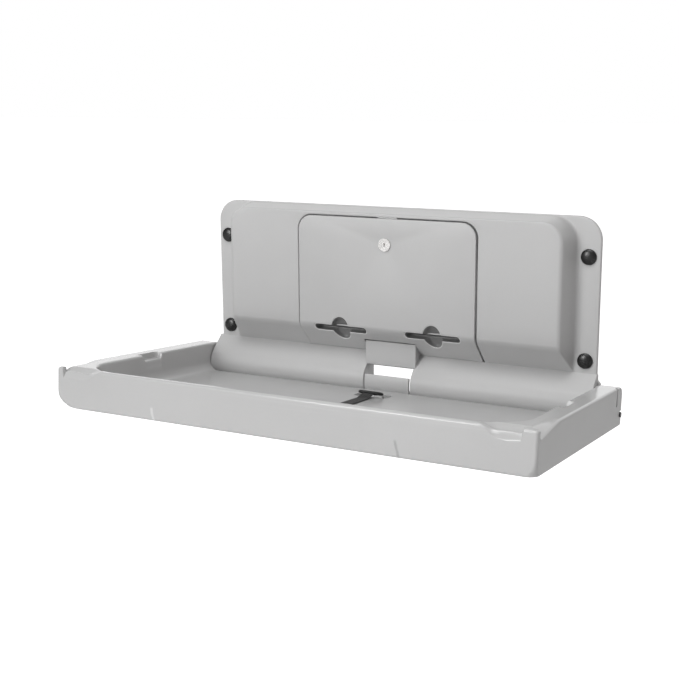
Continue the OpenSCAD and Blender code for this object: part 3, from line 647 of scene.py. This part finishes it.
def notch_outline():
    """Slot that drops over the stop rod: a ring sector round the hinge with a round closed end."""
    arm, half = 43.504, 6.5
    lean = math.degrees(math.atan2(-3, 43.4)) + 5.1 + 1.58
    a = np.radians(np.linspace(lean, 96, 18))
    outer = (arm + half) * np.stack([np.sin(a), -np.cos(a)], -1)
    inner = (arm - half) * np.stack([np.sin(a), -np.cos(a)], -1)[::-1]
    out = np.array([math.sin(math.radians(lean)), -math.cos(math.radians(lean))])
    along = np.array([-math.cos(math.radians(lean)), -math.sin(math.radians(lean))])
    b = np.radians(np.linspace(0, 180, 14))[1:-1, None]
    end = arm * out + half * (np.sin(b) * along - np.cos(b) * out)
    return np.concatenate([outer, inner, end])


# Back panel

FACE, CREASE_H, VALLEY_H = 48.4, 134.4, 85.0
SILL_Y, SILL_H, SILL_R = -3.0, 31.0, 38.0


def soft_min(a, b, k):
    """The smaller of two values, lowered where they are closer than k by a parabola of how close."""
    h = np.maximum(k - np.abs(a - b), 0) / k
    return np.minimum(a, b) - h * h * k / 4


def slope_depth(h):
    """Depth of the slope at a height: even growth from the valley up to the crease's."""
    return np.maximum(h - VALLEY_H, 0) * FACE / (CREASE_H - VALLEY_H)


def face_depth(h):
    """How far the raised form stands out at a height, with its soft crease."""
    return soft_min(np.full_like(np.asarray(h, float), FACE), slope_depth(np.asarray(h, float)), 9.0)


def panel_rings():
    """Rings from the door opening's inner edge outwards to the flange's back.

    Each is half width, top, corner radius and depth in front of the flange."""
    rings = []
    lip = 1.8
    half, top, radius = 186.0, 352.6, 30.0
    rings.append((half, top, radius, FACE - 6))
    for s, c in quarter(5):
        grow = lip * (1 - c)
        rings.append((half + grow, top + grow, radius + grow, FACE - lip * (1 - s)))
    bend, face_half, face_top, face_radius = 9.0, 343.0, 359.6, 38.0
    foot_half, foot_top, foot_radius = 354.6, 365.5, 46.0
    first = rings[-1][:3]
    last = (face_half - 8.0, face_top - 2.2, face_radius - 6)
    for t in np.linspace(0, 1, 6)[1:]:
        rings.append(tuple(np.array(first) * (1 - t) + np.array(last) * t) + (FACE,))
    run, drop = foot_half - face_half, FACE
    lean = math.atan2(drop, run)
    for t in np.linspace(0, 1, 7)[1:]:
        turn = lean * t
        side = bend * math.sin(turn) / math.sin(lean)
        fall = bend * (1 - math.cos(turn))
        rings.append((face_half - 8 + side * 0.96, face_top - 2.2 + side * 0.3,
                      face_radius - 6 + side * 0.7, FACE - fall))
    start = np.array(rings[-1])
    end = np.array((foot_half - 0.8, foot_top - 0.6, foot_radius - 1.0, 4.0))
    for t in np.linspace(0, 1, 9)[1:]:
        rings.append(tuple(start * (1 - t) + end * t))
    for grow, depth in ((0.5, 2.0), (1.6, 0.8), (3.4, 0.15), (5.5, 0.0)):
        rings.append((foot_half + grow, foot_top + min(grow, 1.0) * 0.5, foot_radius + grow * 0.3, depth))
    rings.append((376.0, 366.0, 42.0, 0.0))
    for s, c in quarter(5):
        rings.append((398 - 2.6 * (1 - s), 367 - 1.0 * (1 - s), 42.0, -2.6 * (1 - c)))
    rings.append((398.0, 367.0, 42.0, -7.0))
    return rings


def make_panel():
    """The panel: a loft of rings up one side, over the top and down the other, whose depth is the
    softened smaller one of the ring's own and the slope's; the flange widens at its foot."""
    heights = np.concatenate([np.linspace(64, 140, 58)[:-1], np.linspace(140, 300, 9)])
    turns = np.linspace(180, 90, 19)
    across = np.linspace(-1, 1, 15)
    rows = []
    for half, top, radius, depth in panel_rings():
        hs = np.concatenate([heights, [top - radius]])
        widths = np.full_like(hs, half)
        if half > 380:
            widths = widths + 7 * smooth((77 - hs) / 11)
        left = np.stack([-widths, hs], -1)
        a = np.radians(turns)
        corner = np.stack([-half + radius + radius * np.cos(a), top - radius + radius * np.sin(a)], -1)
        middle = np.stack([across * (half - radius), np.full(len(across), top)], -1)
        part = np.concatenate([left, corner[1:-1]])
        path = np.concatenate([part, middle, part[::-1] * (-1, 1)])
        h = path[:, 1]
        if depth > 0:
            softness = 9.0 if depth > 20 else 0.2 + depth * 0.4
            deep = soft_min(np.full(len(h), depth), slope_depth(h), softness)
            deep = np.maximum(deep, 0)
        else:
            deep = np.full(len(h), depth)
        rows.append(np.column_stack([path[:, 0], -deep, h]))
    n = len(rows[0])
    panel = mesh_object("panel", panel_place(np.concatenate(rows)), quads(len(rows), n), 50)
    stand_in(panel, "shell", "wall_unit", "shell_plastic", "back_panel")
    for name, low, high in (("sill_left", -403.8, -49.5), ("sill_right", 49.5, 399.5)):
        stand_in(make_sill(name, low, high), "shell", "wall_unit", "shell_plastic")


def sill_outline(inset, steps=40):
    """Outline of the sill in y and height: a ramp that runs tangent into a round nose."""
    r = SILL_R - inset
    top = np.array([0.0, VALLEY_H - inset * 1.5])
    middle = np.array([SILL_Y, SILL_H])
    reach = np.linalg.norm(top - middle)
    lean = math.degrees(math.atan2(top[1] - middle[1], top[0] - middle[0]) + math.acos(r / reach))
    arc = circle_points(middle[0], middle[1], r, steps, lean, 270 - lean, True)
    return np.concatenate([[[7.0, top[1]]], [top], arc, [[7.0, middle[1] - r]]])


def make_sill(name, low, high, edge=1.6):
    """Half of the sill: its outline drawn out along the hinge, and set in by a quarter circle at
    both ends, which rounds their edges."""
    rings = [(low + edge * (1 - c), edge * (1 - s)) for s, c in quarter(6)]
    rings += [(low + edge + (high - low - 2 * edge) * t, 0.0) for t in (0.25, 0.5, 0.75)]
    rings += [(high - edge * (1 - c), edge * (1 - s)) for s, c in quarter(6)][::-1]
    rows = [np.insert(sill_outline(inset), 0, x, axis=1) for x, inset in rings]
    n = len(rows[0])
    faces = quads(len(rows), n, closed=True) + ends(n, len(rows))
    return mesh_object(name, panel_place(np.concatenate(rows)), faces, 40)


# Liner door


def loop(bm, points):
    """A closed loop of edges through points of x and height."""
    verts = [bm.verts.new((p[0], 0, p[1])) for p in points]
    return [bm.edges.new((verts[i], verts[(i + 1) % len(verts)])) for i in range(len(verts))]


SLOT_HALF, SLOT_REACH, HOLE_R, HOLE_TALL, SLOT_H = 6.2, 49.5, 19.4, 1.12, 132.4
SLOT_X, NEAR_X, NEAR_H = 96.5, 62, 30
LOCK_H, LOCK_HOLE_R = 301.5, 9.2


def slot_points(x, shrink=1.0, inset=0.0):
    """Outline of a liner slot with its thumb hole: two round ends and two arcs of a taller hole.
    It can be drawn in towards the slot's middle line, which makes the rings of the cup behind it."""
    half, reach, hole = SLOT_HALF, SLOT_REACH - inset, HOLE_R - inset
    a = math.degrees(math.asin(half / hole))
    arc = 180 - 2 * a
    parts = [circle_points(reach, 0, half, 10, -90, 180, True),
             circle_points(0, 0, hole, 26, a, arc, True),
             circle_points(-reach, 0, half, 10, 90, 180, True),
             circle_points(0, 0, hole, 26, 180 + a, arc, True)]
    for k in (1, 3):
        tall = (np.abs(parts[k][:, 1]) - half) * HOLE_TALL * hole / (hole - 0.4 * half)
        parts[k][:, 1] = np.sign(parts[k][:, 1]) * (half + tall)
    points = np.concatenate(parts)
    return np.stack([x + points[:, 0], SLOT_H + points[:, 1] * shrink], -1)


def make_cups():
    """Moulded cups behind the slots: the slot's outline drawn in by a quarter circle of depth to a
    narrow mouth for the liners, and bent over the crease as the door is. Their dark grey is painted shade."""
    points, faces = [], []
    for x in (-SLOT_X, SLOT_X):
        start = sum(len(p) for p in points)
        rows = []
        for s, c in quarter(8):
            ring = slot_points(x, 0.10 + 0.90 * c, 9.0 * (1 - c))
            deep = 3.6 + 17.0 * s
            rows.append(np.stack([ring[:, 0], deep - face_depth(ring[:, 1]), ring[:, 1]], -1))
        shelf = slot_points(x, 1.0)
        middle = (shelf.mean(0) - shelf) * 0.04
        wide = shelf - middle * 1.5
        rows.insert(0, np.stack([wide[:, 0], 3.9 - face_depth(wide[:, 1]), wide[:, 1]], -1))
        n = len(rows[0])
        faces += quads(len(rows), n, True, start)
        points += rows
    cups = mesh_object("slot_cups", panel_place(np.concatenate(points)), faces, 60)
    mod = cups.modifiers.new("wall", "SOLIDIFY")
    mod.thickness = 1.2 * MM
    mod.offset = 1.0
    bpy.context.view_layer.update()
    apply_modifiers(cups)
    stand_in(cups, "cup", "door", "shell_plastic")


def make_door():
    """The flat door with its holes is rounded at every edge, then bent over the crease: each point
    goes forwards by the face's depth at its height. An attribute marks the holes' rims for a painted
    highlight."""
    left, right, top, radius, low = -184.2, 181.6, 350.2, 28.0, 85.5
    notch, notch_h, thick, step_out = 54.0, 112.5, 4.0, 1.3
    outline = np.concatenate([
        [(right, low)],
        circle_points(right - radius, top - radius, radius, 16, 0, 90, True),
        circle_points(left + radius, top - radius, radius, 16, 90, 90, True),
        [(left, 142), (left - step_out, 124), (left - step_out, low), (-notch, low),
         (-notch, notch_h), (notch, notch_h), (notch, low)]])
    bm = bmesh.new()
    edges = loop(bm, outline)
    for x in (-SLOT_X, SLOT_X):
        edges += loop(bm, slot_points(x))
    edges += loop(bm, circle_points(0, LOCK_H, LOCK_HOLE_R, 32))
    bmesh.ops.triangle_fill(bm, use_beauty=True, use_dissolve=False, edges=edges)
    back = bmesh.ops.extrude_face_region(bm, geom=bm.faces[:])["geom"]
    back = [v for v in back if isinstance(v, bmesh.types.BMVert)]
    bmesh.ops.translate(bm, vec=(0, thick, 0), verts=back)
    bmesh.ops.recalc_face_normals(bm, faces=bm.faces)
    sharp = [e for e in bm.edges if len(e.link_faces) == 2 and e.calc_face_angle() > math.radians(60)]
    rim = [e for e in sharp if abs(e.verts[0].co.y - e.verts[1].co.y) < 0.1 and e.verts[0].co.y < 1]
    slots = [e for e in rim
             if abs(abs(e.verts[0].co.x) - SLOT_X) < NEAR_X and abs(e.verts[0].co.z - SLOT_H) < NEAR_H]
    others = [e for e in rim if e not in set(slots)]
    rounding = {"profile": 0.5, "affect": "EDGES", "clamp_overlap": True}
    bmesh.ops.bevel(bm, geom=others, offset=1.3, segments=4, **rounding)
    slots = [e for e in slots if e.is_valid]
    bmesh.ops.bevel(bm, geom=slots, offset=2.2, segments=5, **rounding)
    for h in np.arange(87, 160, 2.0):
        geom = bm.verts[:] + bm.edges[:] + bm.faces[:]
        bmesh.ops.bisect_plane(bm, geom=geom, plane_co=(0, 0, h), plane_no=(0, 0, 1), dist=1e-4)
    mesh = bpy.data.meshes.new("door")
    bm.to_mesh(mesh)
    bm.free()
    flat = np.zeros(len(mesh.vertices) * 3)
    mesh.vertices.foreach_get("co", flat)
    flat = flat.reshape(-1, 3)
    holes = (np.abs(np.abs(flat[:, 0]) - SLOT_X) < NEAR_X) & (np.abs(flat[:, 2] - SLOT_H) < NEAR_H)
    # Painted highlight: marks the rounded front rims of the slots and thumb holes to be lightened.
    wear = np.clip(flat[:, 1] / 0.15, 0, 1) * np.clip((2.6 - flat[:, 1]) / 1.2, 0, 1) * holes
    bent = flat - np.outer(face_depth(flat[:, 2]), (0, 1, 0))
    mesh.vertices.foreach_set("co", panel_place(bent).ravel())
    mesh.attributes.new("wear", "FLOAT", "POINT").data.foreach_set("value", wear)
    door = bpy.data.objects.new("door", mesh)
    bpy.context.collection.objects.link(door)
    mesh.shade_smooth()
    mesh.set_sharp_from_angle(angle=math.radians(40))
    stand_in(door, "door", "door", "shell_plastic", "liner_door")
    for side, low_x, high_x in (("left", -183.6, -54), ("right", 54, 181.6)):
        piece = prism("barrel_" + side, circle_points(2, 92, 4.0, 24), low_x, high_x, 0, panel_place)
        stand_in(piece, "door", "door", "shell_plastic")


# Middle pieces


def make_middle():
    """The cover and the knuckle between the two halves of the sill: prisms drawn out along the
    hinge, less the rod's bore, the hollow behind and the sill's own rounded form."""
    cover = prism("cover", [(0, 64), (-23.5, 64), (-23.5, 110), (-0.3, 84.7)], -51.7, 53.6, 0, panel_place)
    rod = prism("cutter", circle_points(-6, 62, 4.3, 24), -60, 60, 0, panel_place)
    inner = prism("cutter", [(2, 60), (-20.5, 60), (-20.5, 100), (2, 78)], -26, 26, 0, panel_place)
    reliefs = [prism("cutter", sill_outline(-0.3), x0, x1, 0, panel_place)
               for x0, x1 in ((-60, -49.2), (49.2, 60))]
    cut(cover, [rod, inner] + reliefs)
    soften(cover, 1.4)
    stand_in(cover, "shell", "wall_unit", "shell_plastic", "hinge_cover")

    arc = circle_points(SILL_Y, SILL_H, SILL_R, 30, 155.4, 106.1, True)
    hollow = circle_points(SILL_Y, SILL_H, SILL_R - 6, 12, 210.0, -54.6, True)
    outline = np.concatenate([arc, [(-3, -6.5)], [(-3, 10)], hollow])
    knuckle = prism("knuckle", outline, -46.3, 46.3, 0, panel_place)
    under = prism("cutter", [(-500, -80), (60, -80), (60, FLOOR), (-500, FLOOR)], -60, 60, 0, bed_place)
    cut(knuckle, [under])
    soften(knuckle, 1.6)
    stand_in(knuckle, "shell", "bed", "shell_plastic", "centre_knuckle")


def make_caps():
    """Low domed caps over the wall bolts: a soft profile turned about each bolt's line."""
    wide, foot, dome = 14.2, 1.8, 4.8
    profile = [(wide, 0.0), (14.4, 0.8), (wide, foot)]
    profile += [(wide * math.cos(a), foot + dome * math.sin(a)) for a in np.radians(np.arange(8, 90, 7))]
    profile = np.array(profile + [(0.02, 6.6)])
    turns = np.radians(np.arange(0, 360, 7.5))
    disc = np.stack([np.outer(profile[:, 0], np.cos(turns)), -np.outer(profile[:, 1], np.ones(len(turns))),
                     np.outer(profile[:, 0], np.sin(turns))], -1).reshape(-1, 3)
    centres = [(x, 0, h) for x in (-377.0, 376.0) for h in (107.5, 295.5)]
    points = np.concatenate([disc + centre for centre in centres])
    faces = []
    for k in range(len(centres)):
        start = k * len(disc)
        faces += quads(len(profile), len(turns), True, start)
        faces.append(tuple(start + i for i in range(len(turns))))
        faces.append(tuple(start + len(disc) - len(turns) + i for i in range(len(turns)))[::-1])
    caps = mesh_object("caps", panel_place(points), faces, 60)
    stand_in(caps, "cap", "wall_unit", "cap_plastic", "bolt_caps")


# Strap


def ribbon(name, path, half, thick):
    """A strap of a given half width along a path of bed places: at each place a flat twelve-sided
    outline across the path, along x and the path's normal. Its weave's UVs are in metres."""
    path = np.asarray(path, float)
    steps = np.diff(path, axis=0)
    tangent = np.vstack([steps[:1], steps[:-1] + steps[1:], steps[-1:]])
    tangent /= np.linalg.norm(tangent, axis=1)[:, None]
    normal = np.stack([np.zeros(len(path)), -tangent[:, 2], tangent[:, 1]], -1)
    normal *= np.where(normal[:, 2:3] < 0, -1, 1)
    across = np.array([-1, -0.96, -0.8, 0, 0.8, 0.96, 1, 0.96, 0.8, 0, -0.8, -0.96])
    lift = np.array([0, 0.38, 0.5, 0.46, 0.5, 0.38, 0, -0.38, -0.5, -0.5, -0.5, -0.38])
    rows = [p + np.outer(across * half, (1, 0, 0)) + np.outer(lift * thick, n)
            for p, n in zip(path, normal)]
    m = len(across)
    faces = quads(len(rows), m, closed=True) + ends(m, len(rows))
    strap = mesh_object(name, bed_place(np.concatenate(rows)), faces, 60)
    strap.data.uv_layers.new(name="UVMap")
    where = np.zeros(len(strap.data.vertices) * 3)
    strap.data.vertices.foreach_get("co", where)
    where = where.reshape(-1, 3)
    index = np.zeros(len(strap.data.loops), int)
    strap.data.loops.foreach_get("vertex_index", index)
    strap.data.uv_layers["UVMap"].data.foreach_set("uv", where[index, :2].ravel())
    return strap


def soft_copy(node, material, body, slot, width=0.6):
    """A copy of a CAD node with flat faces joined and its edges rounded, which stands for the node."""
    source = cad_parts[node]
    obj = bpy.data.objects.new(node + "_soft", source.data.copy())
    bpy.context.collection.objects.link(obj)
    bm = bmesh.new()
    bm.from_mesh(obj.data)
    bmesh.ops.remove_doubles(bm, verts=bm.verts, dist=1e-6)
    bmesh.ops.dissolve_limit(bm, angle_limit=math.radians(1), verts=bm.verts, edges=bm.edges)
    bm.to_mesh(obj.data)
    bm.free()
    soften(obj, width, 2, 35)
    stand_in(obj, material, body, slot, node)


def make_guide():
    """Raised guide loop that the rear strap comes out of: a round tube along a rounded box, which
    leans up towards the front."""
    tube_w, tube_h, clear, lean = 3.0, 2.7, 4.0, 0.28
    path = rounded_box(22.0, 8.5, 8.0, 0, -97, 10)
    ahead = np.roll(path, -1, 0) - np.roll(path, 1, 0)
    ahead /= np.linalg.norm(ahead, axis=1)[:, None]
    outward = np.stack([ahead[:, 1], -ahead[:, 0]], -1)
    turns = np.append(np.radians(np.arange(0, 360, 30)), 2 * math.pi)
    high = FLOOR + clear + (-88 - path[:, 1]) * lean
    rows = [np.column_stack([path + outward * tube_w * math.cos(t), high + tube_h * math.sin(t)])
            for t in turns]
    n = len(path)
    guide = mesh_object("guide_loop", bed_place(np.concatenate(rows)), quads(len(rows), n, True), 70)
    stand_in(guide, "black", "bed", "black_plastic", "rear_strap_guide")


def make_strap():
    """Two straps on the bed's floor; the rear one climbs by an S to its guide and goes in under it."""
    floor = FLOOR + 0.3
    ys = np.concatenate([np.linspace(-341, -136, 34), np.linspace(-134, -99, 18)])
    zs = floor + 0.8 + 5.6 * smooth((ys + 136) / 30) - 3.0 * smooth((ys + 104) / 5)
    rear = ribbon("strap_rear", np.stack([np.zeros_like(ys), ys, zs], -1), 12.0, 1.5)
    stand_in(rear, "webbing", "bed", "webbing", "rear_strap")
    front = ribbon("strap_front", [(0, y, FLOOR + 2.0) for y in np.linspace(-412, -397.4, 8)], 15.0, 1.5)
    stand_in(front, "webbing", "bed", "webbing", "front_strap")


COLLAR = ((0.3, 441.0), (4.9, 441.0), (4.9, 446.4), (4.4, 447.2), (3.2, 447.4), (2.7, 446.8),
          (2.6, 445.6), (0.3, 445.6))
DOME = ((0.2, 445.0), (2.5, 445.0), (2.5, 446.6), (1.9, 447.5), (1.0, 447.9), (0.2, 448.0))


def make_rod_ends():
    """Ends of the stop rods: profiles of radius and place along the rod, turned about its line. A
    black rounded collar is round a steel dome."""
    low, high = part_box("stop_rod_bolts")
    y, z = (low[1] + high[1]) / 2, (low[2] + high[2]) / 2
    turns = np.radians(np.arange(0, 360, 15))
    for name, material, slot, profile in (("rod_collars", "cap", "cap_plastic", np.array(COLLAR)),
                                          ("rod_domes", "steel", "zinc_steel", np.array(DOME))):
        ring = np.stack([np.outer(profile[:, 1] * MM, np.ones(len(turns))),
                         y + np.outer(profile[:, 0], np.cos(turns)) * MM,
                         z + np.outer(profile[:, 0], np.sin(turns)) * MM], -1).reshape(-1, 3)
        faces = quads(len(profile), len(turns), True) + ends(len(turns), len(profile))
        both = np.concatenate([ring, ring * (-1, 1, 1)])
        obj = mesh_object(name, both, faces + [tuple(i + len(ring) for i in f) for f in faces], 50)
        stand_in(obj, material, "wall_unit", slot)


def dress_frame():
    """Materials for the CAD nodes that stay in view."""
    chosen = {
        "plate": ("wall_plate", "hinge_gussets"),
        "steel": ("lock_keeper", "hinge_rod", "rod_clips", "stop_rod_bolts", "cover_screws",
                  "tray_screws", "door_pins", "lock_nut", "lock_cam", "knuckle_screws",
                  "guide_screws", "buckle_tongue"),
        "black": ("stop_rods",),
        "tray": ("liner_tray",),
        "bush": ("hinge_bushes",),
        "lock": ("lock_barrel", "lock_plug"),
    }
    for material, nodes in chosen.items():
        for node in nodes:
            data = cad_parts[node].data
            data.materials.clear()
            data.materials.append(materials[material])


make_camera()
make_surroundings()
make_bed()
make_panel()
make_door()
make_cups()
make_middle()
make_caps()
make_guide()
make_strap()
make_rod_ends()
for piece in ("front_strap_guide", "strap_adjuster", "buckle_body"):
    soft_copy(piece, "black", "bed", "black_plastic")
soft_copy("adjuster_lever", "black", "lever", "black_plastic")
soft_copy("buckle_button", "black", "button", "black_plastic", 0.4)
dress_frame()
